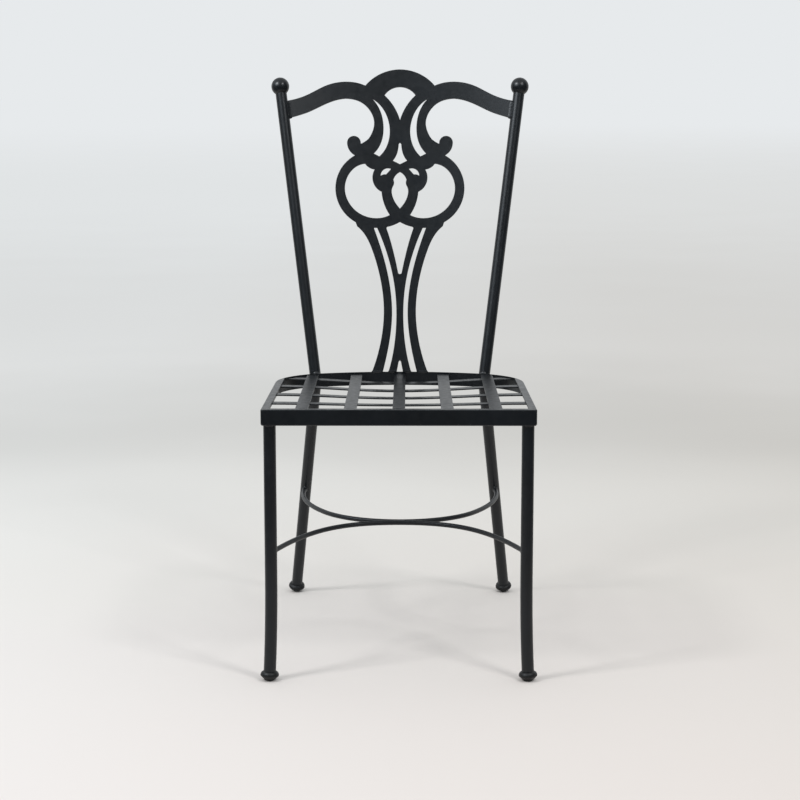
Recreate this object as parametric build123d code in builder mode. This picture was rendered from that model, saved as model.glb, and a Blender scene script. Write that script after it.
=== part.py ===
import os
from math import asin, atan2, cos, pi, radians, sin, sqrt

from build123d import *

# A welded steel garden chair, in millimetres. It stands on the floor at Z 0 and faces -Y.
# Left and right are as seen from in front. A setback is a distance behind the seat's front face.

# Seat frame, an angle with its flange on top: a straight front rail and a hoop for the sides and the
# bowed rear. The sides draw in towards the rear, and the rear itself is the bare upright web.
seat_width = 437.0
seat_rear_width = 426.0
seat_depth = 416.0
seat_height = 445.0
front_rail_height = 26.0
hoop_height = 24.0
web_thickness = 2.5
flange_width = 12.5
flange_thickness = 2.0
rail_edge_radius = 1.8
front_rail_lower_radius = 2.0
front_corner_radius = 4.0
rear_corner_radius = 107.0
rear_bow_radius = 450.0

# Seat straps, flat bars dished to a shallow seat
strap_width = 20.0
strap_thickness = 2.0
long_strap_count = 5
outer_strap_inset = 64.4
cross_strap_count = 4
front_strap_inset = 83.7
rear_strap_inset = 65.0
dish_depth = 8.7
dish_rise_length = 62.5
rear_strap_drop = 3.0
rear_dip_length = 45.0

# Legs and posts, round tubes
tube_diameter = 20.0
tube_wall = 1.5
front_leg_inset = 13.5
front_leg_setback = 13.0
front_leg_flare = 3.5
front_leg_flare_height = 170.0
front_leg_cap = 2.0
rear_foot_spread = 396.5
rear_foot_reach = 151.0
knee_spread = 299.5
knee_bend_radius = 50.0

# Ball finials on the posts, placed from the seat's rear edge and top
finial_diameter = 32.0
finial_spread = 428.6
finial_reach = 75.5
back_height = 504.5
finial_spigot_length = 16.0

# Foot glides, plugs pressed into the tubes
glide_diameter = 30.0
glide_foot_diameter = 14.0
glide_rim_height = 9.0
glide_rim_land = 1.0
glide_rim_radius = 1.4
glide_height = 15.5
glide_stem_length = 18.0
glide_worn_flat = 0.6

# Stretchers, two bent rods that meet back to back
stretcher_diameter = 8.0
stretcher_height = 217.0
stretcher_meeting_setback = 204.0
stretcher_drop = 3.0
front_stretcher_bow = (124.0, 49.0)
front_stretcher_shoulder = (18.3, 31.95)
rear_stretcher_bow = (129.0, 72.0)

# Back panel, one cut plate that stands on the rear rail and meets the posts below the finials
panel_thickness = 4.0
panel_roll_radius = 800.0
panel_foot_inset = 2.0
panel_wing_drop = 27.41
panel_wing_offset = 2.69

# Clearances
plug_clearance = 0.15
weld_gap = 0.1
knee_gap = 0.2

# Values that follow from the sizes above
tube_radius = tube_diameter / 2
bore_radius = tube_radius - tube_wall
plug_radius = bore_radius - plug_clearance
half_width = seat_width / 2
rail_bottom = seat_height - front_rail_height
rail_middle = seat_height - front_rail_height / 2
flange_bottom = seat_height - flange_thickness
finial_radius = finial_diameter / 2
finial_setback = seat_depth + finial_reach
finial_height = seat_height + back_height
rear_foot_setback = seat_depth + rear_foot_reach
finial_seat = sqrt(finial_radius**2 - tube_radius**2)
glide_radius = glide_diameter / 2
glide_foot_radius = glide_foot_diameter / 2


def bow_setback(radius, x):
    """Setback of a curve concentric with the rear bow, at a distance x from the middle."""
    return seat_depth - rear_bow_radius + sqrt(radius**2 - x**2)


# The bent post touches the outer face of the rear rail at its knee. The knee point lies in front of
# the bent tube by the height of the rounded corner, so it is moved forward by that much.
knee_x = knee_spread / 2
touching_setback = bow_setback(rear_bow_radius + tube_radius + knee_gap, knee_x)


def post_directions(knee):
    foot = Vector(rear_foot_spread / 2, rear_foot_setback, 0)
    finial = Vector(finial_spread / 2, finial_setback, finial_height)
    return (knee - foot).normalized(), (finial - knee).normalized()


leg_up, post_up = post_directions(Vector(knee_x, touching_setback, rail_middle))
half_bend = radians(leg_up.get_angle(post_up) / 2)
corner_height = knee_bend_radius * (1 / cos(half_bend) - 1)
corner_way = (post_up - leg_up).normalized()
knee_setback = bow_setback(
    rear_bow_radius + tube_radius + knee_gap, knee_x + corner_height * corner_way.X
) - corner_height * corner_way.Y
leg_up, post_up = post_directions(Vector(knee_x, knee_setback, rail_middle))

# The glide of a leaning leg stands on its front edge, which is worn flat on the floor.
rear_lean = sqrt(1 - leg_up.Z**2)
rear_glide_lift = (glide_foot_radius * rear_lean - glide_worn_flat) / leg_up.Z
rear_rim_middle = rear_foot_setback + (rear_glide_lift + glide_rim_height) * leg_up.Y
rear_reach = rear_rim_middle + glide_radius * sqrt(1 - leg_up.Y**2)
front_reach = front_leg_setback - front_leg_flare - glide_radius
front_y = -(front_reach + rear_reach) / 2


def place(x, setback, z):
    return Vector(x, front_y + setback, z)


rear_foot = place(rear_foot_spread / 2, rear_foot_setback, 0)
knee = place(knee_x, knee_setback, rail_middle)
finial_centre = place(finial_spread / 2, finial_setback, finial_height)
post_start = rear_foot + leg_up * (rear_glide_lift + glide_height)
post_end = finial_centre - post_up * finial_seat

os.makedirs("parts", exist_ok=True)


def write_node(part, name):
    part.label = name
    export_step(part, f"parts/{name}.step")


def write_pair(part, name):
    """Write a piece of the right side, and its mirror image for the left side."""
    write_node(part, f"{name}_right")
    write_node(mirror(part, about=Plane.YZ), f"{name}_left")


# Seat frame: one closed ring in plan, cut at the front corners along the mitres. The arcs of a rear
# corner share one centre, which lies a corner radius inside the side and also inside the bow.
side_taper = (seat_width - seat_rear_width) / 2 / seat_depth
side_stretch = sqrt(1 + side_taper**2)
side_way = Vector(1, side_taper).normalized()
bow_centre = Vector(0, front_y + seat_depth - rear_bow_radius)


def side_x(inset, setback):
    """Half the width between the straight sides, moved inwards."""
    return half_width - inset * side_stretch - setback * side_taper


corner_run = side_x(rear_corner_radius, seat_depth - rear_bow_radius)
corner_reach = rear_bow_radius - rear_corner_radius
corner_rise = sqrt((corner_reach * side_stretch) ** 2 - corner_run**2)
corner_rise = (corner_rise + corner_run * side_taper) / side_stretch**2
corner_centre = bow_centre + Vector(corner_run - corner_rise * side_taper, corner_rise)


def frame_outline(inset):
    """Plan outline of the seat frame, moved inwards."""
    corner = rear_corner_radius - inset
    bow = rear_bow_radius - inset
    bow_way = (corner_centre - bow_centre).normalized()
    front = front_y + inset
    front_end = Vector(side_x(inset, inset), front)
    corner_start = corner_centre + side_way * corner
    corner_middle = corner_centre + (side_way + bow_way).normalized() * corner
    corner_end = corner_centre + bow_way * corner
    with BuildLine() as outline:
        Line((0, front), front_end)
        Line(front_end, corner_start)
        ThreePointArc(corner_start, corner_middle, corner_end)
        RadiusArc(corner_end, bow_centre + Vector(0, bow), -bow)
        mirror(about=Plane.YZ)
    return outline.line


def add_opening(inset):
    """Sketch the plan of the opening between the flanges and the rear web, moved inwards."""
    edge = flange_width + inset
    make_face(frame_outline(web_thickness + inset).edges())
    with BuildLine() as flange_edges:
        Polyline(
            (-side_x(edge, edge), front_y + edge),
            (side_x(edge, edge), front_y + edge),
            (side_x(edge, seat_depth), front_y + seat_depth),
            (-side_x(edge, seat_depth), front_y + seat_depth),
            close=True,
        )
    make_face(flange_edges.edges(), mode=Mode.INTERSECT)


with BuildPart() as seat_frame:
    with BuildSketch(Plane.XY.offset(rail_bottom)):
        make_face(frame_outline(0).edges())
    extrude(amount=front_rail_height)
    front_corners = seat_frame.edges().filter_by(Axis.Z).group_by(Axis.Y)[0]
    fillet(front_corners, front_corner_radius)
    top_face = seat_frame.faces().sort_by(Axis.Z)[-1]
    fillet(top_face.edges(), rail_edge_radius)
    bottom_face = seat_frame.faces().sort_by(Axis.Z)[0]
    fillet(bottom_face.edges(), front_rail_lower_radius)
    with BuildSketch(Plane.XY.offset(rail_bottom)):
        make_face(frame_outline(web_thickness).edges())
    extrude(amount=front_rail_height - flange_thickness, mode=Mode.SUBTRACT)
    with BuildSketch(Plane.XY.offset(flange_bottom)):
        add_opening(0)
    extrude(amount=flange_thickness, mode=Mode.SUBTRACT)

with BuildSketch(Plane.XY.offset(rail_bottom)) as mitre_plan:
    with BuildLine():
        Polyline(
            (-half_width, front_y),
            (half_width, front_y),
            (side_x(flange_width, flange_width), front_y + flange_width),
            (-side_x(flange_width, flange_width), front_y + flange_width),
            close=True,
        )
    make_face()

with BuildPart() as seat_front_rail:
    add(seat_frame.part)
    extrude(mitre_plan.sketch, amount=front_rail_height, mode=Mode.INTERSECT)
write_node(seat_front_rail.part, "seat_front_rail")

with BuildPart() as seat_hoop_rail:
    add(seat_frame.part)
    extrude(mitre_plan.sketch, amount=front_rail_height, mode=Mode.SUBTRACT)
    split(bisect_by=Plane.XY.offset(seat_height - hoop_height))
write_node(seat_hoop_rail.part, "seat_hoop_rail")


# Straps: strips of one dished sheet. The long ones run from the front flange to the rear web, and the
# cross straps pass below them and below the side flanges, from web to web.
cross_strap_top = seat_height - max(strap_thickness, flange_thickness) - weld_gap
dish_length = seat_depth - flange_width - web_thickness
dish_front_length = dish_length - dish_rise_length


def dish_sag(x, setback):
    """Drop below the rail's top: one wave across, a parabola to the deepest line, another up again.

    Near the rear web a dip is added, because the straps are welded below the web's top edge.
    """
    share = min(abs(x) / side_x(web_thickness, setback), 1)
    across = (1 + cos(pi * share)) / 2
    run = setback - flange_width
    if run < dish_front_length:
        along = 1 - (1 - run / dish_front_length) ** 2
    else:
        along = 1 - ((run - dish_front_length) / dish_rise_length) ** 2
    dip_run = max(run - dish_length + rear_dip_length, 0)
    return dish_depth * across * along + rear_strap_drop * (dip_run / rear_dip_length) ** 2


def dished_sheet(top):
    columns = 16
    rows = 36
    grid = []
    for row in range(rows + 1):
        setback = seat_depth * row / rows
        xs = [seat_width * (column / columns - 0.5) for column in range(columns + 1)]
        grid.append([place(x, setback, top - dish_sag(x, setback)) for x in xs])
    return Face.make_surface_from_array_of_points(grid)


def strip(top, plan):
    """The part of the dished sheet that lies within a plan."""
    with BuildPart() as bar:
        extrude(dished_sheet(top), amount=strap_thickness, dir=(0, 0, -1))
        extrude(plan, amount=front_rail_height, mode=Mode.INTERSECT)
    return bar.part


long_strap_pitch = (seat_width - 2 * outer_strap_inset) / (long_strap_count - 1)
for index in range(long_strap_count):
    strap_x = (index - (long_strap_count - 1) / 2) * long_strap_pitch
    with BuildSketch(Plane.XY.offset(rail_bottom)) as strap_plan:
        add_opening(weld_gap)
        with Locations((strap_x, front_y + seat_depth / 2)):
            Rectangle(strap_width, seat_depth, mode=Mode.INTERSECT)
    write_node(strip(seat_height, strap_plan.sketch), f"seat_strap_{index + 1}")

cross_strap_pitch = (seat_depth - front_strap_inset - rear_strap_inset) / (cross_strap_count - 1)
for index in range(cross_strap_count):
    strap_y = front_y + front_strap_inset + index * cross_strap_pitch
    with BuildSketch(Plane.XY.offset(rail_bottom)) as strap_plan:
        make_face(frame_outline(web_thickness + weld_gap).edges())
        with Locations((0, strap_y)):
            Rectangle(seat_width, strap_width, mode=Mode.INTERSECT)
    write_node(strip(cross_strap_top, strap_plan.sketch), f"cross_strap_{index + 1}")


# Front legs: a straight tube in the corner of the angle, whose foot sweeps forward and outward
front_leg_x = half_width - front_leg_inset
front_leg_top = place(front_leg_x, front_leg_setback, flange_bottom - weld_gap)
front_flare_start = place(front_leg_x, front_leg_setback, front_leg_flare_height)
front_foot = place(front_leg_x + front_leg_flare, front_leg_setback - front_leg_flare, glide_height)
with BuildLine() as front_leg_path:
    Line(front_leg_top, front_flare_start)
    TangentArc(front_flare_start, front_foot, tangent=(0, 0, -1))


def tube_along(path, radius):
    with BuildPart() as bar:
        with BuildSketch(Plane(origin=path @ 0, z_dir=path % 0)):
            Circle(radius)
        sweep(path=path)
    return bar.part


front_leg_body = tube_along(front_leg_path.wire(), tube_radius)
front_leg_bore = tube_along(front_leg_path.wire(), bore_radius)
with BuildPart() as front_leg:
    add(front_leg_body)
    add(front_leg_bore, mode=Mode.SUBTRACT)
    with BuildSketch(Plane(front_leg_top)):
        Circle(tube_radius)
    extrude(amount=-front_leg_cap)
write_pair(front_leg.part, "front_leg")

# Rear posts: one tube from the floor, bent at the seat, up to the finial
with BuildLine() as rear_post_path:
    FilletPolyline(post_start, knee, post_end, radius=knee_bend_radius)

rear_post_body = tube_along(rear_post_path.wire(), tube_radius)
rear_post_bore = tube_along(rear_post_path.wire(), bore_radius)
with BuildPart() as rear_post:
    add(rear_post_body)
    add(rear_post_bore, mode=Mode.SUBTRACT)
write_pair(rear_post.part, "rear_post")


# Finials: a ball that sits on the rim of the post, with a spigot in its bore
finial_plane = Plane(origin=post_end, z_dir=post_up)
with BuildPart() as finial:
    with Locations(finial_plane.offset(finial_seat)):
        Sphere(finial_radius)
    split(bisect_by=finial_plane)
    with BuildSketch(finial_plane):
        Circle(plug_radius)
    extrude(amount=-finial_spigot_length)
write_pair(finial.part, "finial")


# Foot glides: turned plugs with a domed top, a wide rim and a narrow foot, flat on the floor
def foot_glide(foot, up):
    """A glide whose foot is centred at a point and whose stem points up the tube."""
    across = up.cross(Vector(0, 1, 0)).normalized()
    turning_plane = Plane(origin=foot, x_dir=across, z_dir=across.cross(up))
    rim_low = glide_rim_height - glide_rim_land
    stem_end = glide_height + glide_stem_length
    with BuildPart() as glide:
        with BuildSketch(turning_plane) as glide_profile:
            with BuildLine():
                Line((0, 0), (glide_foot_radius, 0))
                Line((glide_foot_radius, 0), (glide_radius, rim_low))
                Line((glide_radius, rim_low), (glide_radius, glide_rim_height))
                TangentArc((glide_radius, glide_rim_height), (tube_radius, glide_height), tangent=(0, 1))
                Line((tube_radius, glide_height), (plug_radius, glide_height))
                Line((plug_radius, glide_height), (plug_radius, stem_end))
                Line((plug_radius, stem_end), (0, stem_end))
                Line((0, stem_end), (0, 0))
            make_face()
            rim_edge = glide_profile.vertices().group_by(Axis.X)[-1].sort_by(Axis.Y)[0]
            fillet(rim_edge, glide_rim_radius)
        revolve(axis=Axis(foot, up))
        split(bisect_by=Plane.XY)
    return glide.part


front_leg_up = -(front_leg_path.line % 1)
front_glide_foot = front_foot - front_leg_up * glide_height
write_pair(foot_glide(front_glide_foot, front_leg_up), "foot_glide_front")
write_pair(foot_glide(rear_foot + leg_up * rear_glide_lift, leg_up), "foot_glide_rear")


# Stretchers: a bow across the middle whose ends run on to the legs
rod_radius = stretcher_diameter / 2
rod_offset = rod_radius + weld_gap / 2


def grown_leg(path):
    """The space that a leg and its weld gap take up."""
    return tube_along(path, tube_radius + weld_gap)


def trimmed_to_legs(rod, leg_space):
    with BuildPart() as bar:
        add(rod)
        add(leg_space, mode=Mode.SUBTRACT)
        add(mirror(leg_space, about=Plane.YZ), mode=Mode.SUBTRACT)
    return bar.part


front_leg_space = grown_leg(front_leg_path.wire())
rear_post_space = grown_leg(rear_post_path.wire())

# The front rod drops a little from its apex to the legs, and passes the leg's axis on the inside.
front_apex_setback = stretcher_meeting_setback - rod_offset
front_end_x = front_leg_x - tube_radius + rod_radius + plug_clearance
front_end_run = front_apex_setback - front_leg_setback
shoulder_inset, shoulder_behind = front_stretcher_shoulder


def front_rod_point(x, run):
    drop = stretcher_drop * run / front_end_run
    return place(x, front_apex_setback - run, stretcher_height - drop)


with BuildLine() as front_rod_path:
    Spline(
        front_rod_point(0, 0),
        front_rod_point(*front_stretcher_bow),
        front_rod_point(front_leg_x - shoulder_inset, front_end_run - shoulder_behind),
        front_rod_point(front_end_x, front_end_run),
        tangents=[(1, 0, 0), front_rod_point(1, 2.6) - front_rod_point(0, 0)],
    )
    mirror(about=Plane.YZ)

front_rod = tube_along(front_rod_path.wire(), rod_radius)
write_node(trimmed_to_legs(front_rod, front_leg_space), "stretcher_front")

rear_apex_setback = stretcher_meeting_setback + rod_offset
rear_bow_width, rear_bow_rise = rear_stretcher_bow
rear_rod_radius = (rear_bow_width**2 + rear_bow_rise**2) / (2 * rear_bow_rise)
rear_leg_point = rear_foot + leg_up * (stretcher_height / leg_up.Z)
with BuildLine() as rear_rod_path:
    rear_bow = RadiusArc(
        place(0, rear_apex_setback, stretcher_height),
        place(rear_bow_width, rear_apex_setback + rear_bow_rise, stretcher_height),
        -rear_rod_radius,
    )
    TangentArc(rear_bow @ 1, rear_leg_point, tangent=rear_bow % 1)
    mirror(about=Plane.YZ)

rear_rod = tube_along(rear_rod_path.wire(), rod_radius)
write_node(trimmed_to_legs(rear_rod, rear_post_space), "stretcher_rear")


# Back panel: its wing ends on the post's axis below the finial, and the panel leans to meet it there,
# with the rolled plate a little in front of that axis.
wing_point = finial_centre - post_up * panel_wing_drop
panel_origin = place(0, seat_depth - panel_foot_inset, seat_height)
wing_way = wing_point - panel_origin
wing_rise = panel_roll_radius - sqrt(panel_roll_radius**2 - wing_way.X**2)
wing_length = sqrt(wing_way.Y**2 + wing_way.Z**2)
panel_lean = atan2(wing_way.Y, wing_way.Z) + asin((wing_rise - panel_wing_offset) / wing_length)
panel_plane = Plane(origin=panel_origin, x_dir=(1, 0, 0), z_dir=(0, -cos(panel_lean), sin(panel_lean)))
wing_top = panel_plane.to_local_coords(wing_point)
panel_foot = -panel_thickness

# The right half of the cut-out is drawn in the flat, as (across, up the panel), and then mirrored.
# Its zero line is the height of the seat, and it is stretched so that the top corner of its wing,
# which lies 210.98 across and 484.5 up in the drawing, reaches the post.
across_stretch = wing_top.X / 210.98
up_stretch = wing_top.Y / 484.5


def at(across, up):
    """A point of the drawing, stretched to the posts."""
    return Vector(across * across_stretch, up * up_stretch)


def post_axis_at(height):
    """The post's axis in the panel's flat coordinates, at a height of the drawing."""
    low = panel_plane.to_local_coords(knee)
    high = panel_plane.to_local_coords(post_end)
    share = (height * up_stretch - low.Y) / (high.Y - low.Y)
    return Vector(low.X + share * (high.X - low.X), height * up_stretch)


with BuildSketch(panel_plane) as panel_flat:
    with BuildLine():
        ThreePointArc(at(0, 548.3), at(36, 539.6), at(62.5, 518.3))
        Spline(
            at(62.5, 518.3), at(98, 524.6), at(132.5, 516.8), at(165, 499), at(197, 487),
            post_axis_at(484.5),
        )
        Line(post_axis_at(484.5), post_axis_at(451.5))
        Spline(
            post_axis_at(451.5), at(197, 455.2), at(165.8, 466.6), at(125, 487.1),
            at(98, 494.0),
        )
        Spline(
            at(98, 494.0), at(61, 481.1), at(46.6, 448), at(54.7, 424.3), at(69, 412.6),
            tangents=[(-1, 0), (0.86, -0.5)],
        )
        Line(at(69, 412.6), at(95.1, 413.9))
        TangentArc(at(95.1, 413.9), at(80.8, 391), tangent=(0, -1))
        ThreePointArc(at(80.8, 391), at(115.8, 332), at(79.5, 269.8))
        Line(at(79.5, 269.8), at(77, 262.6))
        Spline(
            at(77, 262.6), at(62, 246), at(49.4, 219), at(36.7, 175.6), at(28.7, 108),
            at(31.6, 69.4), at(39.5, 31), at(51, panel_foot),
        )
        Line(at(51, panel_foot), at(0, panel_foot))
        Line(at(0, panel_foot), at(0, 548.3))
    make_face()
    # Ball at the end of the scroll
    with Locations(at(82.8, 413.9)):
        Circle(12.3 * min(across_stretch, up_stretch))
    # Fan under the arch
    with BuildLine():
        ThreePointArc(at(0, 516.3), at(14, 513.2), at(28, 501.2))
        ThreePointArc(at(28, 501.2), at(9.5, 478.3), at(0, 456))
        Line(at(0, 456), at(0, 516.3))
    make_face(mode=Mode.SUBTRACT)
    # Crescent slit between the scroll and the pillar
    with BuildLine():
        Spline(
            at(49.8, 494.2), at(33.5, 480.4), at(21.5, 456.7), at(18.4, 436.5), at(23.4, 409.3),
            at(37, 389.6),
        )
        Line(at(37, 389.6), at(47.3, 394.8))
        Spline(at(47.3, 394.8), at(33.3, 416.6), at(29.6, 443), at(35.7, 473.1), at(49.8, 494.2))
    make_face(mode=Mode.SUBTRACT)
    # Small opening under the pillar
    with BuildLine():
        Line(at(0, 414.7), at(2.2, 412.5))
        Spline(at(2.2, 412.5), at(3.2, 403), at(6.9, 391), at(13, 382))
        Line(at(13, 382), at(0, 375.5))
        Line(at(0, 375.5), at(0, 414.7))
    make_face(mode=Mode.SUBTRACT)
    # Opening of the ring
    with BuildLine():
        Spline(
            at(62.8, 376.2), at(84.6, 365.8), at(98.9, 331.5), at(78.4, 289.7), at(45, 277.3),
            at(18.2, 283.2),
        )
        ThreePointArc(at(18.2, 283.2), at(28.7, 304), at(33.1, 325.5))
        ThreePointArc(at(33.1, 325.5), at(48.6, 344), at(45.4, 366))
        ThreePointArc(at(45.4, 366), at(55.5, 369.2), at(62.8, 376.2))
    make_face(mode=Mode.SUBTRACT)
    # Eye above the curl
    with BuildLine():
        ThreePointArc(at(16, 367), at(28.5, 366.2), at(34.6, 354.4))
        ThreePointArc(at(34.6, 354.4), at(29.5, 356.8), at(25, 356.8))
        Line(at(25, 356.8), at(16, 367))
    make_face(mode=Mode.SUBTRACT)
    # Lens where the rings cross
    with BuildLine():
        ThreePointArc(at(0, 361.5), at(7, 356.2), at(11.8, 347))
        ThreePointArc(at(11.8, 347), at(10.6, 341.5), at(12.3, 336))
        Spline(at(12.3, 336), at(14.8, 327.5), at(13.7, 318.5), at(9.8, 308.5), at(0, 295))
        Line(at(0, 295), at(0, 361.5))
    make_face(mode=Mode.SUBTRACT)
    # Wedge between the inner stems
    with BuildLine():
        ThreePointArc(at(0, 270.7), at(11, 265.3), at(23, 261.8))
        Line(at(23, 261.8), at(24.2, 259.5))
        Spline(at(24.2, 259.5), at(13.9, 226), at(7.6, 200), at(2.8, 177.3))
        Line(at(2.8, 177.3), at(0, 175.9))
        Line(at(0, 175.9), at(0, 270.7))
    make_face(mode=Mode.SUBTRACT)
    # Slit between the stems
    with BuildLine():
        Line(at(41, 259.9), at(46.8, 259.9))
        Spline(
            at(46.8, 259.9), at(35.1, 226.1), at(25.7, 193.6), at(16.8, 148),
            at(13.9, 105.3), at(16.9, 65.7), at(31.3, panel_foot),
        )
        Line(at(31.3, panel_foot), at(21.3, panel_foot))
        Spline(
            at(21.3, panel_foot), at(12.2, 33.4), at(6.4, 90), at(8.2, 143), at(21.5, 208),
            at(41, 259.9),
        )
    make_face(mode=Mode.SUBTRACT)
    # Notch at the foot
    with BuildLine():
        Line(at(0, 20.4), at(2, 18))
        Line(at(2, 18), at(6.2, panel_foot))
        Line(at(6.2, panel_foot), at(0, panel_foot))
        Line(at(0, panel_foot), at(0, 20.4))
    make_face(mode=Mode.SUBTRACT)
    mirror(about=Plane.YZ)


# The plate is rolled about an axis in front of it: a curved sheet that the cut-out is pressed through.
roll_depth = finial_spread**2 / (8 * panel_roll_radius) + 2 * panel_thickness
roll_plane = Plane(
    origin=panel_plane.origin - panel_plane.y_dir * seat_height,
    x_dir=panel_plane.x_dir,
    z_dir=panel_plane.y_dir,
)
with BuildPart() as back_panel:
    with BuildSketch(roll_plane):
        with Locations((0, -panel_roll_radius)):
            Circle(panel_roll_radius + panel_thickness / 2)
            Circle(panel_roll_radius - panel_thickness / 2, mode=Mode.SUBTRACT)
        with Locations((0, -roll_depth + 2 * panel_thickness)):
            Rectangle(finial_spread + 2 * tube_diameter, 2 * roll_depth, mode=Mode.INTERSECT)
    extrude(amount=seat_height + finial_height)
    extrude(panel_flat.sketch, amount=2 * roll_depth, both=True, mode=Mode.INTERSECT)
    add(rear_post_space, mode=Mode.SUBTRACT)
    add(mirror(rear_post_space, about=Plane.YZ), mode=Mode.SUBTRACT)
    split(bisect_by=Plane.XY.offset(seat_height))
write_node(back_panel.part, "back_panel")
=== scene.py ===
from math import cos, log, pi, radians, sin, sqrt

import bpy
import numpy as np
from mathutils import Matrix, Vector


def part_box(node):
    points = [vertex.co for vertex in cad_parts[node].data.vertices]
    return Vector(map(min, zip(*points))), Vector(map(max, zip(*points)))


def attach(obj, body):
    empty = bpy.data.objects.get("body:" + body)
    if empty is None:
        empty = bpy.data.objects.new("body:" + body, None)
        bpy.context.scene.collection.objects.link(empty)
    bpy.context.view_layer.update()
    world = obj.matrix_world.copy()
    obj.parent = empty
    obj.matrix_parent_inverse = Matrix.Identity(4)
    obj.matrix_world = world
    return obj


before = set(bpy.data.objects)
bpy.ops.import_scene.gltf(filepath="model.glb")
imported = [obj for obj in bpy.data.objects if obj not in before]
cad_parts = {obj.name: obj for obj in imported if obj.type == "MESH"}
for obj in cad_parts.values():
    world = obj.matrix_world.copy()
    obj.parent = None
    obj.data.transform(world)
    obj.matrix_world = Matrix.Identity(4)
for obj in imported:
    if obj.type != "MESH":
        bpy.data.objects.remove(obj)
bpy.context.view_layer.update()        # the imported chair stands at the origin, in metres, and faces -Y
print("frame loaded:", len(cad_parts), "steel and plastic pieces")

mmPerMetre = 1000.0


def toLinear(colour):
    channels = np.array([int(colour[i:i + 2], 16) for i in (1, 3, 5)]) / 255.0
    linear = np.where(channels <= 0.04045, channels / 12.92, ((channels + 0.055) / 1.055) ** 2.4)
    return (*linear.tolist(), 1.0)


# Adds one node: settings are the node's own properties, inputs are values or other nodes' outputs.
def addNode(tree, kind, inputs=None, **settings):
    node = tree.nodes.new(kind)
    for key, value in settings.items():
        setattr(node, key, value)
    for key, value in (inputs or {}).items():
        if isinstance(value, bpy.types.NodeSocket):
            tree.links.new(value, node.inputs[key])
        else:
            node.inputs[key].default_value = value
    return node


def addPlace(tree):
    return addNode(tree, "ShaderNodeTexCoord").outputs["Object"]


# A noise has a size in millimetres, a level of detail and a roughness.
def addNoise(tree, place, size, detail, roughness):
    noise = addNode(tree, "ShaderNodeTexNoise", {
        "Vector": place, "Scale": mmPerMetre / size, "Detail": detail, "Roughness": roughness})
    return noise.outputs["Fac"]


# Carries one span of values over to another and stops at its ends.
def addRange(tree, value, span=(0.0, 1.0), target=(0.0, 1.0)):
    carried = addNode(tree, "ShaderNodeMapRange", {
        "Value": value, "From Min": span[0], "From Max": span[1], "To Min": target[0], "To Max": target[1]})
    return carried.outputs["Result"]


def addMath(tree, operation, first, second):
    return addNode(tree, "ShaderNodeMath", {0: first, 1: second}, operation=operation).outputs["Value"]


def addRamp(tree, share, stops, interpolation="LINEAR"):
    ramp = addNode(tree, "ShaderNodeValToRGB", {"Fac": share})
    ramp.color_ramp.interpolation = interpolation
    elements = ramp.color_ramp.elements
    while len(elements) < len(stops):
        elements.new(1.0)
    for element, (position, colour) in zip(elements, stops):
        element.position, element.color = position, toLinear(colour)
    return ramp.outputs["Color"]


# The colour sockets of a mix node go by number, because its other kinds have sockets of the same names.
def addMix(tree, share, first, second, blend="MIX"):
    mix = addNode(tree, "ShaderNodeMix", {"Factor": share, 6: first, 7: second},
                  data_type="RGBA", blend_type=blend)
    return mix.outputs[2]


# A bump with its depth in millimetres, on top of another normal where one is given.
def addBump(tree, height, strength, depth, normal=None):
    inputs = {"Strength": strength, "Distance": depth / mmPerMetre, "Height": height}
    if normal is not None:
        inputs["Normal"] = normal
    return addNode(tree, "ShaderNodeBump", inputs).outputs["Normal"]


def addGloss(tree, noise, look):
    middle, spread = look["roughness"], look["roughnessSpread"]
    return addRange(tree, noise, look["glossSpan"], (middle - spread, middle + spread))


def newMaterial(name):
    material = bpy.data.materials.new(name)
    material.use_nodes = True
    material.node_tree.nodes.clear()
    return material, material.node_tree


def addShader(tree, inputs):
    shader = addNode(tree, "ShaderNodeBsdfPrincipled", inputs)
    addNode(tree, "ShaderNodeOutputMaterial", {"Surface": shader.outputs["BSDF"]})


# Polyester powder coat, sprayed dry on steel and melted in an oven: a near-black film with a satin gloss.
# The melt leaves an orange peel of soft dimples that breaks up reflections, the film is a little uneven
# in gloss from place to place, and it draws thin over sharp edges. Those edges are painted a shade lighter,
# partly for the thin film and partly as a painted highlight along them.
def powderCoat(name, look):
    material, tree = newMaterial(name)
    place = addPlace(tree)
    stops = list(zip(look["filmSpan"], (look["deepColour"], look["paleColour"])))
    film = addRamp(tree, addNoise(tree, place, *look["cloud"]), stops)
    rounded = addNode(tree, "ShaderNodeBevel", {"Radius": look["edgeRadius"] / mmPerMetre},
                      samples=look["edgeSamples"]).outputs["Normal"]
    flat = addNode(tree, "ShaderNodeNewGeometry").outputs["Normal"]
    turned = addNode(tree, "ShaderNodeVectorMath", {0: rounded, 1: flat}, operation="DOT_PRODUCT")
    # Edge mask: sharp edges get a lighter base colour, for thin film and as a painted highlight.
    edge = addRange(tree, turned.outputs["Value"], look["edgeSpan"])
    wave = addNoise(tree, place, *look["wave"])
    swell = addBump(tree, wave, look["waveStrength"], look["waveHeight"], rounded)
    peel = addNoise(tree, place, *look["peel"])
    addShader(tree, {
        "Base Color": addMix(tree, edge, film, toLinear(look["edgeFilmAndHighlightColour"])),
        "Roughness": addGloss(tree, addNoise(tree, place, *look["speck"]), look),
        "IOR": look["ior"],
        "Normal": addBump(tree, peel, look["peelStrength"], look["peelHeight"], swell)})
    return material


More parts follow.
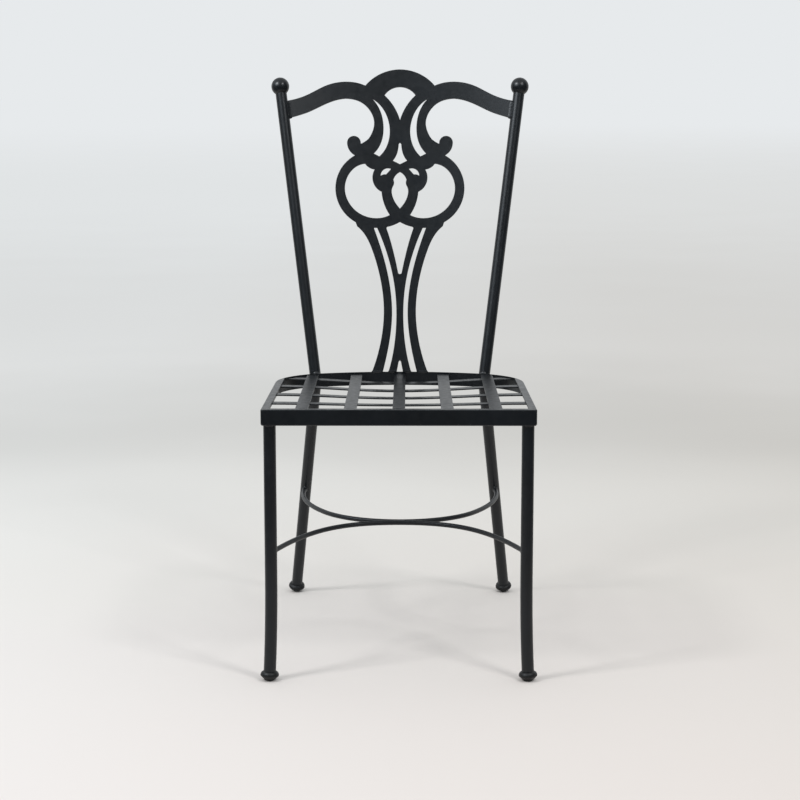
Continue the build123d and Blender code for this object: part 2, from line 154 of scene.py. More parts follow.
# Real orange peel is about 1.8 mm from dimple to dimple. It is drawn at 4 mm, because a pixel of the
# picture is about 1.6 mm wide. Each noise gives its size in millimetres, detail and roughness.
coat = {
    "deepColour": "#070b0f",
    "paleColour": "#0c1116",
    "filmSpan": (0.30, 0.72),     # of the cloud noise, from deep to pale
    "edgeFilmAndHighlightColour": "#12171c",
    "edgeRadius": 0.7,            # mm
    "edgeSamples": 6,
    "edgeSpan": (0.995, 0.80),    # cosine of the turn at an edge, from full film to thin film with its painted highlight
    "roughness": 0.37,
    "roughnessSpread": 0.05,
    "glossSpan": (0.3, 0.7),      # of the speck noise, from smooth to rough
    "ior": 1.43,
    "cloud": (60.0, 3.0, 0.55),
    "speck": (9.0, 2.0, 0.6),
    "peel": (4.0, 1.5, 0.45),
    "peelHeight": 0.05,           # mm
    "peelStrength": 0.35,
    "wave": (45.0, 1.0, 0.4),
    "waveHeight": 0.25,           # mm
    "waveStrength": 0.3,
}
coatedTube = powderCoat("steelTube_satinPowderCoat", coat)
coatedRail = powderCoat("steelRail_satinPowderCoat", {**coat, "roughness": 0.34})
# Flat bar from the mill is never quite straight, so its long waves show more.
coatedStrap = powderCoat("flatBar_satinPowderCoat", {**coat, "waveHeight": 0.5, "roughness": 0.38})
# Hot rolled rod keeps some scale under the film and looks drier.
coatedRod = powderCoat("rolledRod_satinPowderCoat", {**coat, "roughness": 0.44, "peelHeight": 0.08})
coatedPlate = powderCoat("cutPlate_satinPowderCoat", coat)
coatedBall = powderCoat("turnedBall_satinPowderCoat", {**coat, "roughness": 0.33, "waveStrength": 0.0})
# Stick welds get a paler film colour: a painted highlight for the light that the bead's curves catch.
coatedWeld = powderCoat("stickWeld_paleCoat_paintedHighlight", {**coat, "paleColour": "#11151a", "edgeRadius": 0.1})


# Nylon, injection moulded against a spark-eroded mould: an even matt black with a fine grain and, on the
# worn foot, pale scuffs.
nylon = {
    "deepColour": "#060708",
    "paleColour": "#0c0d0e",
    "bodySpan": (0.30, 0.70),     # of the grain noise, from deep to pale
    "roughness": 0.48,
    "roughnessSpread": 0.07,
    "glossSpan": (0.3, 0.7),      # of the blotch noise, from smooth to rough
    "ior": 1.40,
    "grain": (1.6, 2.0, 0.6),     # the real grain is 0.1 mm, drawn coarser to show
    "grainHeight": 0.03,          # mm
    "grainStrength": 0.4,
    "blotch": (5.0, 4.0, 0.65),
    "scuffColour": "#222222",
    "scuffSpan": (0.52, 0.62),    # of the blotch noise, from none to most
    "scuffMost": 0.7,
    "scuffTop": 5.0,              # mm above the floor
}


def mouldedNylon(name, look):
    material, tree = newMaterial(name)
    place = addPlace(tree)
    grain = addNoise(tree, place, *look["grain"])
    blotch = addNoise(tree, place, *look["blotch"])
    height = addNode(tree, "ShaderNodeSeparateXYZ", {"Vector": place}).outputs["Z"]
    low = addRange(tree, height, (0.0, look["scuffTop"] / mmPerMetre), (1.0, 0.0))
    patch = addRange(tree, blotch, look["scuffSpan"], (0.0, look["scuffMost"]))
    worn = addMath(tree, "MULTIPLY", low, patch)
    stops = list(zip(look["bodySpan"], (look["deepColour"], look["paleColour"])))
    addShader(tree, {
        "Base Color": addMix(tree, worn, addRamp(tree, grain, stops), toLinear(look["scuffColour"])),
        "Roughness": addGloss(tree, blotch, look),
        "IOR": look["ior"],
        "Normal": addBump(tree, grain, look["grainStrength"], look["grainHeight"])})
    return material


mouldedGlide = mouldedNylon("nylon_sparkGrainMoulded", nylon)

finishes = {
    "front_leg": coatedTube,
    "rear_post": coatedTube,
    "finial": coatedBall,
    "seat_front_rail": coatedRail,
    "seat_hoop_rail": coatedRail,
    "seat_strap": coatedStrap,
    "cross_strap": coatedStrap,
    "stretcher": coatedRod,
    "back_panel": coatedPlate,
    "foot_glide": mouldedGlide,
}
for name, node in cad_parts.items():
    finish = next(m for start, m in finishes.items() if name.startswith(start))
    node.data.materials.clear()
    node.data.materials.append(finish)
print("finishes on:", len(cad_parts), "pieces")


# Sizes of the chair that the welds follow, in millimetres. A setback is measured from the seat's front.
chair = {
    "railTop": 445.0,
    "frontWebBottom": 419.0,
    "hoopWebBottom": 421.0,
    "web": 2.5,
    "flangeWidth": 12.5,
    "halfWidth": 218.5,
    "sideTaper": 0.01322,    # each side draws in by this much of the setback
    "seatDepth": 416.0,
    "bowRadius": 450.0,
    "cornerRadius": 107.0,
    "cornerCentre": (107.63, 291.67),
    "tubeRadius": 10.0,
    "rodRadius": 4.0,
    "plateHalf": 2.0,
    "plateRoll": 800.0,
    "plateLean": 11.693,     # degrees
    "plateSetback": 414.0,
    "frontLeg": (205.0, 13.0),
    "knee": (149.75, 398.83, 432.0),
    "kneeBend": 50.0,
    "ball": (214.3, 491.5, 949.5),
    "rearFoot": (198.25, 567.0, 0.0),
    "strapPitch": 77.05,
    "crossStraps": (83.7, 89.1),     # setback of the first one, and the pitch
    "strapDrop": 3.0,        # the straps' rear ends lie below the web's top edge
}
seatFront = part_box("seat_front_rail")[0].y * mmPerMetre


def unit(v):
    return v / np.linalg.norm(v, axis=-1, keepdims=True)


def toMetres(points):
    return (np.asarray(points, float) + np.array([0.0, seatFront, 0.0])) / mmPerMetre


def stack(x, setback, z):
    return np.stack(np.broadcast_arrays(x, setback, z), axis=-1).astype(float)


# Ways that several welds share: up, up the posts and the rear legs, and up and out of the back panel.
upright = np.array([0.0, 0.0, 1.0])
ball, knee, rearFoot = (np.array(chair[part]) for part in ("ball", "knee", "rearFoot"))
postUp, legUp = unit(ball - knee), unit(knee - rearFoot)
panelLean = radians(chair["plateLean"])
panelOrigin = np.array([0.0, chair["plateSetback"], chair["railTop"]])
panelUp = np.array([0.0, sin(panelLean), cos(panelLean)])
panelForward = np.array([0.0, -cos(panelLean), sin(panelLean)])


# Weld beads. A bead is a profile carried along a corner: at each station a parabola runs from the toe on
# one piece to the toe on the other, pulled towards the corner, and a point inside the metal closes it.
bead = {
    "profilePoints": 9,
    "fullness": 0.22,        # 0 hugs the corner, 1 bulges
    "rippleHeight": 0.16,    # mm
    "ripplePitch": 2.6,      # mm, one ripple for each dip of the rod
    "rootDepth": 1.2,        # mm below the corner
    "endLength": 4.0,        # mm over which an open end runs out
    "endLeast": 0.01,        # square of the share of the profile that is left at the end
}


def beadSurface(corner, toeA, toeB, closed=False, fullness=bead["fullness"]):
    reach = toeA + toeB - 2 * corner
    way = unit(reach)
    step = np.linalg.norm(np.diff(corner, axis=0), axis=1)
    along = np.concatenate([[0.0], np.cumsum(step)])
    t = np.linspace(0.0, 1.0, bead["profilePoints"])[None, :, None]
    middle = corner + fullness * reach
    curve = (1 - t) ** 2 * toeA[:, None] + 2 * t * (1 - t) * middle[:, None] + t**2 * toeB[:, None]
    ripple = np.sin(2 * pi * along / bead["ripplePitch"])[:, None, None] * np.sin(pi * t)
    curve = curve + bead["rippleHeight"] * ripple * way[:, None]
    root = corner[:, None] - bead["rootDepth"] * way[:, None]
    rings = np.concatenate([curve, root], axis=1)
    stations, around = rings.shape[:2]
    if not closed:  # the ends run out to a point on the corner
        nearEnd = np.clip(np.minimum(along, along[-1] - along) / bead["endLength"], 0.0, 1.0)
        taper = np.sqrt(np.clip(1 - (1 - nearEnd) ** 2, bead["endLeast"], 1.0))
        rings = corner[:, None] + (rings - corner[:, None]) * taper[:, None, None]
    index = np.arange(stations * around).reshape(stations, around)
    following = np.roll(index, -1, axis=0) if closed else index[1:]
    index = index if closed else index[:-1]
    quads = np.stack(
        [index, np.roll(index, -1, axis=1), np.roll(following, -1, axis=1), following], axis=-1
    ).reshape(-1, 4)
    points = rings.reshape(-1, 3)
    if closed:
        return points, quads, np.zeros((0, 3), int)
    first = np.arange(around)
    last = first + (stations - 1) * around
    poleA, poleB = np.full(around, len(points)), np.full(around, len(points) + 1)
    points = np.concatenate([points, corner[:1], corner[-1:]])
    fanA = np.stack([np.roll(first, -1), first, poleA], axis=-1)
    fanB = np.stack([last, np.roll(last, -1), poleB], axis=-1)
    return points, quads, np.concatenate([fanA, fanB])


def mirrored(surface):
    points, quads, triangles = surface
    return points * np.array([-1.0, 1.0, 1.0]), quads[:, ::-1], triangles[:, ::-1]


# Six times the volume that a closed surface holds, below zero where its faces point inwards.
def heldVolume(points, quads, triangles):
    corners = np.concatenate([quads[:, [0, 1, 2]], quads[:, [0, 2, 3]], triangles])
    a, b, c = points[corners[:, 0]], points[corners[:, 1]], points[corners[:, 2]]
    return np.einsum("ij,ij->", a, np.cross(b, c))


def addObject(name, data):
    made = bpy.data.objects.new(name, data)
    bpy.context.scene.collection.objects.link(made)
    return made


def addWeld(name, surfaces):
    points, faces, count = [], [], 0
    for p, quads, triangles in surfaces:
        if heldVolume(p, quads, triangles) < 0:
            quads, triangles = quads[:, ::-1], triangles[:, ::-1]
        points.append(toMetres(p))
        faces += (quads + count).tolist() + (triangles + count).tolist()
        count += len(p)
    mesh = bpy.data.meshes.new(name)
    mesh.from_pydata(np.concatenate(points), [], faces)
    mesh.polygons.foreach_set("use_smooth", np.ones(len(mesh.polygons), bool))
    mesh.update()
    mesh.materials.append(coatedWeld)
    piece = addObject(name, mesh)
    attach(piece, "root")


def addWeldPair(name, surfaces):
    addWeld(name + "_right", surfaces)
    addWeld(name + "_left", [mirrored(surface) for surface in surfaces])


# Wing welds: the plate's end meets the side of the post below the ball. In a section across the post
# the plate's face lies at a height above the tube's middle, and cuts the circle there.
wingWeld = {"fromBall": 28.4, "toBall": 59.5, "plateLeg": 5.5, "tubeLeg": 4.2, "stations": 48}


def wingBead(side):
    down = np.linspace(wingWeld["fromBall"], wingWeld["toBall"], wingWeld["stations"])
    axis = ball - down[:, None] * postUp
    u, n = axis[:, 0], (axis - panelOrigin) @ panelForward
    roll = chair["plateRoll"]
    slope = u / np.sqrt(roll**2 - u**2)
    inward = -(np.array([1.0, 0.0, 0.0]) + slope[:, None] * panelForward)
    inward = unit(inward - (inward @ postUp)[:, None] * postUp)
    front = unit(np.cross(postUp, inward))
    front = front * np.sign(front @ panelForward)[:, None]
    middle = (roll - np.sqrt(roll**2 - u**2) - n) / np.sqrt(1 + slope**2)
    r = chair["tubeRadius"]
    angle = np.arcsin((middle + side * chair["plateHalf"]) / r)
    end = angle + side * wingWeld["tubeLeg"] / r
    corner = axis + r * (np.cos(angle)[:, None] * inward + np.sin(angle)[:, None] * front)
    toeTube = axis + r * (np.cos(end)[:, None] * inward + np.sin(end)[:, None] * front)
    return beadSurface(corner, corner + wingWeld["plateLeg"] * inward, toeTube)


addWeldPair("weld_wing", [wingBead(1), wingBead(-1)])


# Rod welds: a ring round the rod where it runs into the leg. Each point of the rod's surface is carried
# along the rod until it is a tube radius away from the leg's axis. An end and a way belong to the rod.
rodWeld = {
    "rodLeg": 2.8,
    "legLeg": 2.4,
    "stations": 72,
    "frontEnd": (199.15, 13.0, 214.0),
    "frontWay": (1.0, -2.6, -0.0417),
    "rearEnd": (173.89, 482.53, 217.0),
    "rearWay": (-0.116, 0.993, 0.0),
}


def rodRing(end, way, legPoint, legWay):
    angle = np.linspace(0.0, 2 * pi, rodWeld["stations"], endpoint=False)
    way = unit(np.array(way))
    side = unit(np.cross(way, upright))
    over = np.cross(side, way)
    out = np.cos(angle)[:, None] * side + np.sin(angle)[:, None] * over
    start = np.array(end) + chair["rodRadius"] * out

    def across(v):
        return v - (v @ legWay)[..., None] * legWay

    w = across(start - legPoint)
    d = across(way)
    r = chair["tubeRadius"]
    half = w @ d
    reach = (-half - np.sqrt(half**2 - (d @ d) * ((w * w).sum(1) - r**2))) / (d @ d)
    corner = start + reach[:, None] * way
    normal = unit(across(corner - legPoint))
    spread = unit(out - (out * normal).sum(1)[:, None] * normal)
    toeLeg = corner + rodWeld["legLeg"] * spread
    off = across(toeLeg - legPoint)
    toeLeg = toeLeg - off + r * unit(off)
    return beadSurface(corner, corner - rodWeld["rodLeg"] * way, toeLeg, closed=True)


frontFoot = np.array([*chair["frontLeg"], 0.0])
frontRing = rodRing(rodWeld["frontEnd"], rodWeld["frontWay"], frontFoot, upright)
rearRing = rodRing(rodWeld["rearEnd"], rodWeld["rearWay"], rearFoot, legUp)
addWeldPair("weld_rod_front", [frontRing])
addWeldPair("weld_rod_rear", [rearRing])


# Where the two rods touch, short beads lie in the grooves above and below them.
rodMeeting = {
    "halfLength": 12.0,
    "setback": 204.0,
    "height": 217.0,
    "toeAngle": 58.0,        # degrees round the rod
    "bow": 155.0,            # radius of each rod there
    "halfGap": 0.05,
    "rootRise": 0.9,
    "fullness": 0.35,
    "stations": 25,
}


def meetingBead(side):
    x = np.linspace(-rodMeeting["halfLength"], rodMeeting["halfLength"], rodMeeting["stations"])
    away = x**2 / (2 * rodMeeting["bow"])
    r, angle = chair["rodRadius"], radians(rodMeeting["toeAngle"])
    z = rodMeeting["height"] + side * r * sin(angle)
    gap = r + rodMeeting["halfGap"] + away - r * cos(angle)
    corner = stack(x, rodMeeting["setback"], rodMeeting["height"] + side * rodMeeting["rootRise"])
    toeFront = stack(x, rodMeeting["setback"] - gap, z)
    toeRear = stack(x, rodMeeting["setback"] + gap, z)
    return beadSurface(corner, toeFront, toeRear, fullness=rodMeeting["fullness"])


addWeld("weld_rods_meeting", [meetingBead(1), meetingBead(-1)])


# Post welds: a bead on each side of the line where the bent tube touches the rear rail, and one across
# the rail's top. Sections are level, with the rail's face at zero and the tube behind it.
postWeld = {
    "lowest": 422.2,
    "highest": 443.2,
    "railToe": 8.4,
    "railSink": 0.1,
    "tubeToe": 7.4,
    "tubeLift": 0.2,
    "rootAt": 4.4,
    "rootOut": 0.6,
    "fullness": 0.3,
    "stations": 30,
}
postTopWeld = {
    "halfAngle": 36.0,       # degrees round the tube
    "rise": 4.2,
    "reach": 2.0,
    "tubeGap": 0.1,
    "tubeSink": 0.1,
    "rootDrop": 0.5,
    "toeRise": 0.45,
    "fullness": 0.15,
}
kneeHalf = np.arccos(postUp @ legUp) / 2
kneeLean = (postUp + legUp) / (postUp + legUp)[2]
bendMiddle = knee + chair["kneeBend"] * (1 / cos(kneeHalf) - 1) * unit(postUp - legUp)
cornerCentre = np.array(chair["cornerCentre"])
railOut = np.array([*unit(bendMiddle[:2] - cornerCentre), 0.0])
railAlong = np.array([-railOut[1], railOut[0], 0.0])
railFace = np.array([*(cornerCentre + chair["cornerRadius"] * railOut[:2]), 0.0])


# The middle of the bent tube at the heights z.
def tubeMiddle(z):
    rise = z - bendMiddle[2]
    straight = bendMiddle + rise[:, None] * kneeLean
    return straight + (rise**2 / (2 * chair["kneeBend"]))[:, None] * railOut


def postSideBead(side):
    z = np.linspace(postWeld["lowest"], postWeld["highest"], postWeld["stations"])
    tube = tubeMiddle(z)
    offset = (tube - railFace) @ railAlong
    behind = (tube - railFace) @ railOut
    base = railFace + stack(0.0, 0.0, z)

    def section(along, out):
        drop = (offset + side * along) ** 2 / (2 * chair["cornerRadius"])
        return base + (offset + side * along)[:, None] * railAlong + (out - drop)[:, None] * railOut

    toeOut = behind - sqrt(chair["tubeRadius"] ** 2 - postWeld["tubeToe"] ** 2) + postWeld["tubeLift"]
    return beadSurface(
        section(postWeld["rootAt"], postWeld["rootOut"]),
        section(postWeld["railToe"], -postWeld["railSink"]),
        section(postWeld["tubeToe"], toeOut), fullness=postWeld["fullness"])


def postTopBead():
    most = postTopWeld["halfAngle"]
    angle = np.radians(np.linspace(-most, most, postWeld["stations"]))
    front = -np.cos(angle)[:, None] * railOut + np.sin(angle)[:, None] * railAlong
    top = np.full_like(angle, chair["railTop"])
    r = chair["tubeRadius"]
    corner = tubeMiddle(top) + (r + postTopWeld["tubeGap"]) * front - postTopWeld["rootDrop"] * upright
    toeTube = tubeMiddle(top + postTopWeld["rise"]) + (r - postTopWeld["tubeSink"]) * front
    behind = (corner - railFace) @ railOut
    toeRail = corner - (behind + postTopWeld["reach"])[:, None] * railOut + postTopWeld["toeRise"] * upright
    return beadSurface(corner, toeRail, toeTube, fullness=postTopWeld["fullness"])


addWeldPair("weld_post", [postSideBead(1), postSideBead(-1), postTopBead()])


# Panel feet: a bead in front of and behind each stem, from the face of the rear web up to the plate. Its
# corner lies inside the web, so that the bead stands out as a low half round.
footWeld = {
    "stems": ((6.6, 20.9), (31.8, 50.6)),
    "plateLeg": 2.6,
    "webLeg": 2.4,
    "webSink": 0.05,
    "cornerDepth": 2.2,
    "fullness": 0.92,
    "stations": 24,
}


def footBead(stem, side):
    u = np.linspace(*stem, footWeld["stations"])
    bow = chair["bowRadius"] - (chair["web"] if side > 0 else 0.0)
    webFace = chair["seatDepth"] - chair["bowRadius"] + np.sqrt(bow**2 - u**2)
    rise = u**2 / (2 * chair["plateRoll"]) + side * chair["plateHalf"]
    plateFace = chair["plateSetback"] - rise / cos(panelLean)
    toePlate = stack(u, plateFace, chair["railTop"]) + footWeld["plateLeg"] * panelUp
    toeWeb = stack(u, webFace + footWeld["webSink"] * side, chair["railTop"] - footWeld["webLeg"])
    corner = (toePlate + toeWeb) / 2 + np.array([0.0, footWeld["cornerDepth"] * side, 0.0])
    return beadSurface(corner, toeWeb, toePlate, fullness=footWeld["fullness"])


footBeads = [footBead(stem, side) for stem in footWeld["stems"] for side in (1, -1)]
addWeldPair("weld_panel_foot", footBeads)


# Leg tops: the tube goes up into the corner of the angle, and a bead lies under the lower edge of each web
# where the tube comes closest to it.
legWeld = {"halfLength": 6.5, "webLeg": 1.6, "tubeLeg": 2.4, "rootRise": 0.4, "stations": 22}


def legTopBead(webWay, gap, bottom):
    along = np.linspace(-legWeld["halfLength"], legWeld["halfLength"], legWeld["stations"])[:, None]
    r = chair["tubeRadius"]
    webWay = np.array([*webWay, 0.0])
    runWay = np.array([-webWay[1], webWay[0], 0.0])
    middle = np.array([*chair["frontLeg"], bottom])
    tubeFace = middle + along * runWay + np.sqrt(r**2 - along**2) * webWay
    webFace = middle + along * runWay + (r + gap) * webWay
    return beadSurface(tubeFace + legWeld["rootRise"] * upright, webFace + legWeld["webLeg"] * webWay,
                       tubeFace - legWeld["tubeLeg"] * upright)


legX, legSetback = chair["frontLeg"]
sideGap = chair["halfWidth"] - chair["web"] - chair["sideTaper"] * legSetback - legX - chair["tubeRadius"]
frontGap = legSetback - chair["tubeRadius"] - chair["web"]
legBeads = [
    legTopBead((0.0, -1.0), frontGap, chair["frontWebBottom"]),
    legTopBead((1.0, 0.0), sideGap, chair["hoopWebBottom"]),
]
addWeldPair("weld_leg_top", legBeads)


# Strap ends: a bead under each end. The long straps butt the front flange and the rear web, and the cross
# straps lap under the side flanges and meet the side webs.
strapWeld = {
    "longCount": 5,
    "crossCount": 3,         # those that reach the straight sides
    "halfLength": 8.5,
    "leg": 2.0,
    "thickness": 2.0,        # of a strap
    "gap": 0.1,              # between long and cross straps
    "rearSlope": 0.06,
    "crossSlope": 0.08,
    "buttRise": 1.0,
    "buttFullness": 1.25,
    "stations": 16,
}
# A tack on top of the middle strap's rear end, as it was set before the rest was welded from below.
tack = {"halfLength": 4.5, "strapLeg": 3.6, "strapFall": 0.3, "webLeg": 2.4, "fullness": 0.45}


def strapBead(x, setback, z, inward, slope):
    corner = stack(x, setback, z)
    toeStrap = corner + strapWeld["leg"] * np.array([*inward, -slope])
    return beadSurface(corner, toeStrap, corner - strapWeld["leg"] * upright)


def buttBead(x, setback, z):
    reach = np.array([0.0, strapWeld["leg"], 0.0])
    seam = stack(x, setback, z)
    root = seam + strapWeld["buttRise"] * upright
    return beadSurface(root, seam - reach, seam + reach, fullness=strapWeld["buttFullness"])


def tackBead(x):
    corner = stack(x, chair["seatDepth"] - chair["web"], chair["railTop"] - chair["strapDrop"])
    toeStrap = corner - np.array([0.0, tack["strapLeg"], tack["strapFall"]])
    return beadSurface(corner, toeStrap, corner + tack["webLeg"] * upright, fullness=tack["fullness"])


# The inner face of the rear web: a bow, and outside its ends the rounded corners.
def innerRear(x):
    innerBow = chair["bowRadius"] - chair["web"]
    innerCorner = chair["cornerRadius"] - chair["web"]
    cornerX, cornerSetback = chair["cornerCentre"]
    bowEnd = cornerX * innerBow / (chair["bowRadius"] - chair["cornerRadius"])
    bow = chair["seatDepth"] - chair["bowRadius"] + np.sqrt(innerBow**2 - x**2)
    corner = cornerSetback + np.sqrt(innerCorner**2 - (abs(x) - cornerX).clip(0.0) ** 2)
    return np.where(abs(x) > bowEnd, corner, bow)


sweep = np.linspace(-strapWeld["halfLength"], strapWeld["halfLength"], strapWeld["stations"])
longUnder = chair["railTop"] - strapWeld["thickness"]
rearUnder = longUnder - chair["strapDrop"]
crossUnder = longUnder - strapWeld["gap"] - strapWeld["thickness"]
strapBeads = []
for index in range(strapWeld["longCount"]):
    x = (index - (strapWeld["longCount"] - 1) / 2) * chair["strapPitch"] + sweep
    strapBeads.append(buttBead(x, chair["flangeWidth"], longUnder))
    strapBeads.append(strapBead(x, innerRear(x), rearUnder, (0.0, -1.0), strapWeld["rearSlope"]))
for index in range(strapWeld["crossCount"]):
    setback = chair["crossStraps"][0] + index * chair["crossStraps"][1] + sweep
    innerSide = chair["halfWidth"] - chair["web"] - chair["sideTaper"] * setback
    strapBeads.append(strapBead(innerSide, setback, crossUnder, (-1.0, 0.0), strapWeld["crossSlope"]))
    strapBeads.append(strapBead(-innerSide, setback, crossUnder, (1.0, 0.0), strapWeld["crossSlope"]))
strapBeads.append(tackBead(sweep * tack["halfLength"] / strapWeld["halfLength"]))
addWeld("weld_straps", strapBeads)
print("weld beads laid")


# Studio floor: a pale painted floor, a disc of rings and spokes whose rings widen outwards. Its colour
# holds
# painted shade: deeper under the lights to even out their pool of light, a darker band about 2.9 m out, and
# darker and warmer on the right. It goes over to white far away, so that it runs into the room without a
# line.
floor = {
    "radius": 400.0,
    "rings": 80,
    "ringGrowth": 3,
    "spokes": 96,
    "middle": (0.0, -0.9, 0.0),      # under the lights
    # painted shade: the near tones are deeper where the soft boxes light most, and 2.9 m is a darker band
    "paintedShadeTones": (               # metres from that middle, paint
        (0.45, "#e2dedc"), (0.9, "#e2dfdd"), (1.4, "#e3e1de"), (2.1, "#e6e5e2"), (2.9, "#dddcd9"),
        (5.0, "#eeedeb"), (15.0, "#f8f8f7"), (60.0, "#ffffff")),
    # painted shade on the right side: darker and warmer
    "rightPaintedShade": "#efeae5",
    "halfBlend": 1.0,        # metres to either side over which the tint comes in
    "roughness": 0.55,
    "specular": 0.0,         # dead matt, so that it mirrors nothing
    "mottle": (900.0, 2.0, 0.5),     # slow cloudiness of the paint: size in mm, detail, roughness
    "mottleShift": 0.03,     # how far the cloudiness shifts the tones
}


def addFloor():
    ring = floor["radius"] * np.linspace(0.0, 1.0, floor["rings"] + 1)[1:] ** floor["ringGrowth"]
    spoke = np.linspace(0.0, 2 * pi, floor["spokes"], endpoint=False)
    x, y = ring[:, None] * np.cos(spoke), ring[:, None] * np.sin(spoke)
    points = np.concatenate([stack(x, y, 0.0).reshape(-1, 3), np.zeros((1, 3))])
    index = np.arange(x.size).reshape(x.shape)
    turn = np.roll(index, -1, axis=1)
    quads = np.stack([index[:-1], index[1:], turn[1:], turn[:-1]], axis=-1).reshape(-1, 4)
    fan = np.stack([index[0], turn[0], np.full(x.shape[1], x.size)], axis=-1)
    mesh = bpy.data.meshes.new("studio_floor")
    mesh.from_pydata(points, [], quads.tolist() + fan.tolist())
    piece = addObject("studio_floor", mesh)
    return piece


# Rolled floor paint: matt, with slow cloudiness where one coat laps over another, and with painted shade in
# its tones and on its right side. The tones are spread by the logarithm of the distance, because the near
# ones matter most.
def floorPaintWithPaintedShade(name, look):
    material, tree = newMaterial(name)
    longest = look["paintedShadeTones"][-1][0] + 1.0
    place = addPlace(tree)
    away = addNode(tree, "ShaderNodeVectorMath", {0: place, 1: look["middle"]}, operation="DISTANCE")
    spread = addMath(tree, "ADD", away.outputs["Value"], 1.0)
    octave = addMath(tree, "LOGARITHM", spread, longest)
    cloud = addNoise(tree, place, *look["mottle"])
    shift = addRange(tree, cloud, target=(-look["mottleShift"], look["mottleShift"]))
    share = addMath(tree, "ADD", octave, shift)
    stops = [(log(distance + 1.0, longest), colour) for distance, colour in look["paintedShadeTones"]]
    across = addNode(tree, "ShaderNodeSeparateXYZ", {"Vector": place}).outputs["X"]
    side = addRange(tree, across, (-look["halfBlend"], look["halfBlend"]))
    near = addRange(tree, share, target=(1.0, 0.0))
    rightShadeShare = addMath(tree, "MULTIPLY", side, near)
    tone = addRamp(tree, share, stops, "EASE")
    addShader(tree, {
        # Painted shade: the tone ramp and the right-hand tint darken the floor's colour.
        "Base Color": addMix(tree, rightShadeShare, tone, toLinear(look["rightPaintedShade"]), "MULTIPLY"),
        "Roughness": look["roughness"],
        "Specular IOR Level": look["specular"]})
    return material


studioFloor = addFloor()
studioFloor.data.materials.append(floorPaintWithPaintedShade("floorPaint_paintedShade", floor))


# A painted reflection: a glowing card of floor and wall in front of the chair and at its sides that only
# reflections see, dark for the unlit end of the studio, with brighter bands painted as the reflections of a
# window on the left and of a lamp on the right. A profile of floor, bend and wall is carried round the
# chair, and each point has its own emitted tone.
darkEnd = {
    "nearest": 1.05,
    "wall": 3.6,
    "bend": 1.0,
    "height": 4.4,
    "lift": 0.004,           # clear of the floor
    "halfTurn": 105.0,       # degrees to either side of the front
    "lowTone": 0.18,
    "highTone": 0.25,
    "rise": 2.2,             # height of the high tone
    "colour": "#dce6ee",
    "floorStations": 8,
    "bendStations": 9,
    "wallStations": 10,
    "turnStations": 85,
}
# Bright bands glowing on the card as painted reflections of a window and a lamp; they light nothing.
reflectionGlows = {  # degrees from the front, half width in degrees, height where it is half bright, its blur, tone
    "window": {"turn": -55.0, "spread": 24.0, "rise": 2.35, "blur": 0.25, "tone": 10.0},
    "lamp": {"turn": 36.0, "spread": 6.0, "rise": 2.45, "blur": 0.25, "tone": 6.5},
}


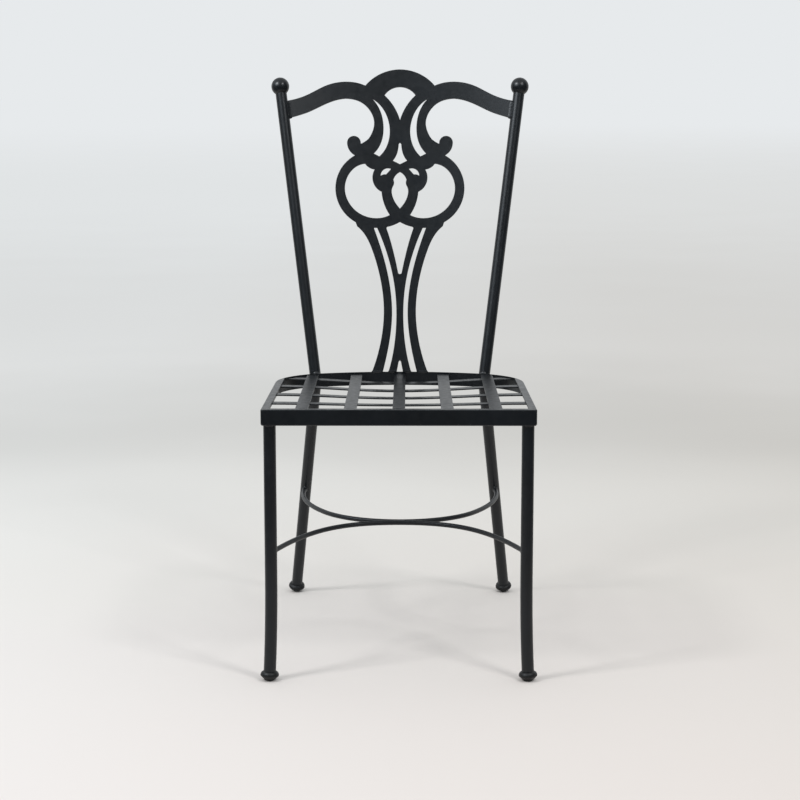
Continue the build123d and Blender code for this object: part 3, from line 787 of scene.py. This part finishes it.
def addDarkEnd():
    wall, bend = darkEnd["wall"], darkEnd["bend"]
    flat = np.linspace(darkEnd["nearest"], wall - bend, darkEnd["floorStations"])
    turn = np.linspace(0.0, pi / 2, darkEnd["bendStations"])[1:]
    up = np.linspace(bend, darkEnd["height"], darkEnd["wallStations"])[1:]
    out = np.concatenate([flat, flat[-1] + bend * np.sin(turn), np.full_like(up, wall)])
    z = np.concatenate([np.zeros_like(flat), bend * (1 - np.cos(turn)), up])
    side = np.linspace(-darkEnd["halfTurn"], darkEnd["halfTurn"], darkEnd["turnStations"])[:, None]
    angle = np.radians(side)
    points = stack(out * np.sin(angle), -out * np.cos(angle), z + darkEnd["lift"]).reshape(-1, 3)
    climb = np.clip(z / darkEnd["rise"], 0.0, 1.0)
    tone = darkEnd["lowTone"] + (darkEnd["highTone"] - darkEnd["lowTone"]) * climb
    for glow in reflectionGlows.values():
        rise = 1 / (1 + np.exp(-(z - glow["rise"]) / glow["blur"]))
        tone = tone + glow["tone"] * rise * np.exp(-((side - glow["turn"]) / glow["spread"]) ** 2)
    index = np.arange(len(points)).reshape(len(side), len(out))
    corners = [index[:-1, :-1], index[1:, :-1], index[1:, 1:], index[:-1, 1:]]
    quads = np.stack(corners, axis=-1).reshape(-1, 4)
    mesh = bpy.data.meshes.new("studio_reflection_card")
    mesh.from_pydata(points, [], quads.tolist())
    mesh.attributes.new("tone", "FLOAT", "POINT").data.foreach_set("value", tone.ravel())
    piece = addObject("studio_reflection_card", mesh)
    material, tree = newMaterial("reflectionCard_paintedGlow")
    # The card emits its own tone: a painted reflection, seen only in glossy rays.
    ownTone = addNode(tree, "ShaderNodeAttribute", attribute_name="tone").outputs["Fac"]
    paintedReflection = addNode(tree, "ShaderNodeEmission", {"Color": toLinear(darkEnd["colour"]), "Strength": ownTone})
    addNode(tree, "ShaderNodeOutputMaterial", {"Surface": paintedReflection.outputs["Emission"]})
    mesh.materials.append(material)
    piece.visible_camera = False
    piece.visible_diffuse = False
    piece.visible_shadow = False


addDarkEnd()

# Soft boxes to the left and right in front, aimed at the seat, and a plain pale room all round.
softBoxes = {
    "left": {"turn": -55.0, "up": 47.0, "distance": 3.0, "size": (0.5, 0.5), "power": 27.0},
    "right": {"turn": 39.0, "up": 47.0, "distance": 3.0, "size": (0.5, 0.5), "power": 22.0},
}
softBoxAim = Vector((0.0, 0.0, 0.45))
for name, box in softBoxes.items():
    turn, up = radians(box["turn"]), radians(box["up"])
    way = Vector((sin(turn) * cos(up), -cos(turn) * cos(up), sin(up)))
    data = bpy.data.lights.new("softbox_" + name, "AREA")
    data.shape = "RECTANGLE"
    data.size, data.size_y = box["size"]
    data.energy = box["power"]
    lamp = addObject("softbox_" + name, data)
    lamp.location = softBoxAim + way * box["distance"]
    lamp.rotation_euler = way.to_track_quat("Z", "Y").to_euler()
    lamp.visible_camera = False

room = {"colour": "#e7eaec", "strength": 1.0}
world = bpy.data.worlds.new("pale_room")
world.use_nodes = True
world.node_tree.nodes.clear()
sky = addNode(world.node_tree, "ShaderNodeBackground", {
    "Color": toLinear(room["colour"]), "Strength": room["strength"]})
addNode(world.node_tree, "ShaderNodeOutputWorld", {"Surface": sky.outputs["Background"]})
bpy.context.scene.world = world
bpy.context.scene.view_settings.view_transform = "Standard"

# Camera: about three metres in front of the seat, near the height of the chair's top, tipped a little down.
view = {
    "aside": 0.01319,
    "away": 2.921,           # in front of the seat
    "height": 0.9346,
    "down": 9.2156,          # degrees
    "turn": 0.003851,        # radians
    "lens": 84.61,           # mm
    "sensor": 36.0,          # mm
}
lens = bpy.data.cameras.new("camera")
lens.sensor_width = view["sensor"]
lens.lens = view["lens"]
camera = addObject("camera", lens)
camera.location = (view["aside"], seatFront / mmPerMetre - view["away"], view["height"])
camera.rotation_euler = (radians(90.0 - view["down"]), 0.0, view["turn"])
bpy.context.scene.camera = camera
print("studio and camera set")
